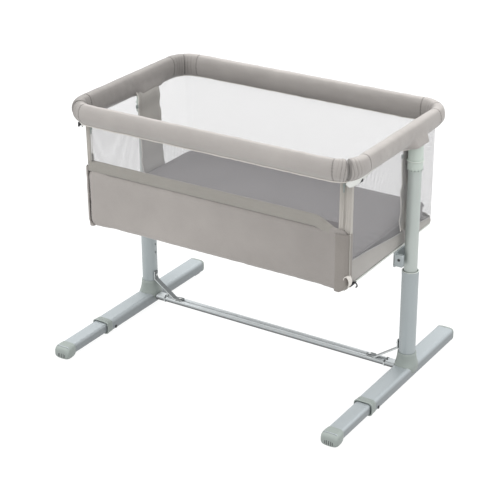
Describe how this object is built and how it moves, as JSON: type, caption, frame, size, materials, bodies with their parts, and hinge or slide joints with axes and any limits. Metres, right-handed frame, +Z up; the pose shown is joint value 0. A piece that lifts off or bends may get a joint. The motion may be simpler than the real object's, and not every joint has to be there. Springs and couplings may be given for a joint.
{
  "type": "bedside bassinet on stand",
  "caption": "Rectangular mesh-sided bedside bassinet with a padded rim and drop side, hung between two telescopic posts on T-shaped feet.",
  "frame": {"origin": "on the floor below the middle of the whole crib's bounding box", "axes": "+X along the long side, towards the right when facing the drop side; +Y from the drop side to the fixed rear side; +Z up"},
  "size_m": [0.96, 0.71, 0.7645],
  "materials": {
    "anodised": "satin anodised",
    "steel": "satin paint",
    "grey_plastic": "fine texture",
    "dark_plastic": "matt",
    "zinc": "bright zinc",
    "taupe_fabric": "woven polyester",
    "hem_fabric": "woven polyester",
    "mesh_fabric": "open warp-knit mesh",
    "tray_fabric": "coated polyester",
    "mattress_fabric": "knitted cover over foam",
    "board": "fibreboard in the mattress cover",
    "webbing": "woven tape"
  },
  "bodies": {
    "stand": {"left_foot_tube": "anodised", "left_heel_cap": "grey_plastic", "left_foot_gland": "grey_plastic", "left_post_base": "grey_plastic", "left_lower_post": "anodised", "left_post_ring": "grey_plastic", "left_crossbar_bracket": "grey_plastic", "left_brace": "steel", "right_foot_tube": "anodised", "right_heel_cap": "grey_plastic", "right_foot_gland": "grey_plastic", "right_post_base": "grey_plastic", "right_lower_post": "anodised", "right_post_ring": "grey_plastic", "right_crossbar_bracket": "grey_plastic", "right_brace": "steel", "crossbar_front_tube": "steel", "crossbar_rear_tube": "steel", "brace_screws": "zinc"},
    "left_extension": {"left_foot_extension": "anodised", "left_toe_cap": "grey_plastic"},
    "left_button": {"left_foot_button": "dark_plastic"},
    "left_post": {"left_upper_post": "anodised", "left_post_head": "grey_plastic", "left_end_mesh": "mesh_fabric", "left_inner_strip": "taupe_fabric"},
    "left_collar": {"left_height_collar": "grey_plastic"},
    "left_pin": {"left_lock_pin": "zinc"},
    "rim": {"left_sleeve": "taupe_fabric", "left_zip_tape": "taupe_fabric", "right_sleeve": "taupe_fabric", "right_zip_tape": "taupe_fabric", "rail_tube": "steel", "rear_sleeve": "taupe_fabric", "rear_mesh": "mesh_fabric"},
    "left_slider": {"left_zip_slider": "dark_plastic"},
    "left_latch": {"left_latch_button": "grey_plastic"},
    "right_extension": {"right_foot_extension": "anodised", "right_toe_cap": "grey_plastic"},
    "right_button": {"right_foot_button": "dark_plastic"},
    "right_post": {"right_upper_post": "anodised", "right_post_head": "grey_plastic", "right_end_mesh": "mesh_fabric", "right_inner_strip": "taupe_fabric"},
    "right_collar": {"right_height_collar": "grey_plastic"},
    "right_pin": {"right_lock_pin": "zinc"},
    "right_slider": {"right_zip_slider": "dark_plastic"},
    "right_latch": {"right_latch_button": "grey_plastic"},
    "drop_side": {"front_rail_tube": "steel", "front_sleeve": "taupe_fabric", "front_mesh": "mesh_fabric"},
    "base": {"front_low_wall": "taupe_fabric", "tray": "tray_fabric", "base_front_tube": "steel", "base_rear_tube": "steel", "mattress_board": "board", "mattress": "mattress_fabric", "base_brackets": "dark_plastic", "bed_strap": "webbing", "strap_hook": "dark_plastic"}
  },
  "joints": [
    {"name": "left_foot_slide", "type": "slide", "parent": "stand", "child": "left_extension", "axis": [0, 1, 0], "range_m": [0, 0.14]},
    {"name": "left_button_press", "type": "slide", "parent": "stand", "child": "left_button", "axis": [-1, 0, 0], "range_m": [0, 0.0022], "stiffness_N_per_m": 900, "springref_m": -0.002},
    {"name": "right_foot_slide", "type": "slide", "parent": "stand", "child": "right_extension", "axis": [0, 1, 0], "range_m": [0, 0.14]},
    {"name": "right_button_press", "type": "slide", "parent": "stand", "child": "right_button", "axis": [-1, 0, 0], "range_m": [0, 0.0022], "stiffness_N_per_m": 900, "springref_m": -0.002},
    {"name": "height", "type": "slide", "parent": "stand", "child": "left_post", "axis": [0, 0, 1], "range_m": [-0.027, 0.108]},
    {"name": "tilt", "type": "hinge", "parent": "left_post", "child": "rim", "pos_m": [-0.44, 0.09, 0.733], "axis": [0, -1, 0], "range_deg": [0, 3.45]},
    {"name": "base_level", "type": "slide", "parent": "rim", "child": "base", "axis": [1, 0, 0], "range_m": [-0.023, 0]},
    {"name": "right_post_level", "type": "hinge", "parent": "rim", "child": "right_post", "pos_m": [0.44, 0.09, 0.733], "axis": [0, -1, 0], "range_deg": [-3.55, 0]},
    {"name": "drop_side_fold", "type": "hinge", "parent": "rim", "child": "drop_side", "pos_m": [0, -0.227, 0.582], "axis": [1, 0, 0], "range_deg": [0, 150]},
    {"name": "left_latch_press", "type": "slide", "parent": "rim", "child": "left_latch", "axis": [1, 0, 0], "range_m": [0, 0.003], "stiffness_N_per_m": 600, "springref_m": -0.003},
    {"name": "left_zip", "type": "slide", "parent": "rim", "child": "left_slider", "axis": [0, 0, -1], "range_m": [0, 0.088]},
    {"name": "left_collar_pull", "type": "slide", "parent": "left_post", "child": "left_collar", "axis": [0, 0, -1], "range_m": [0, 0.006], "stiffness_N_per_m": 500, "springref_m": -0.01},
    {"name": "left_pin_draw", "type": "slide", "parent": "left_post", "child": "left_pin", "axis": [-1, 0, 0], "range_m": [0, 0.005]},
    {"name": "right_latch_press", "type": "slide", "parent": "rim", "child": "right_latch", "axis": [-1, 0, 0], "range_m": [0, 0.003], "stiffness_N_per_m": 600, "springref_m": -0.003},
    {"name": "right_zip", "type": "slide", "parent": "rim", "child": "right_slider", "axis": [0, 0, -1], "range_m": [0, 0.088]},
    {"name": "right_collar_pull", "type": "slide", "parent": "right_post", "child": "right_collar", "axis": [0, 0, -1], "range_m": [0, 0.006], "stiffness_N_per_m": 500, "springref_m": -0.01},
    {"name": "right_pin_draw", "type": "slide", "parent": "right_post", "child": "right_pin", "axis": [1, 0, 0], "range_m": [0, 0.005]}
  ],
  "couplings": [
    {"joint": "base_level", "follows": "tilt", "m_per_rad": -0.36},
    {"joint": "right_post_level", "follows": "tilt", "ratio": -1},
    {"joint": "left_pin_draw", "follows": "left_collar_pull", "ratio": 0.8},
    {"joint": "right_pin_draw", "follows": "right_collar_pull", "ratio": 0.8}
  ]
}
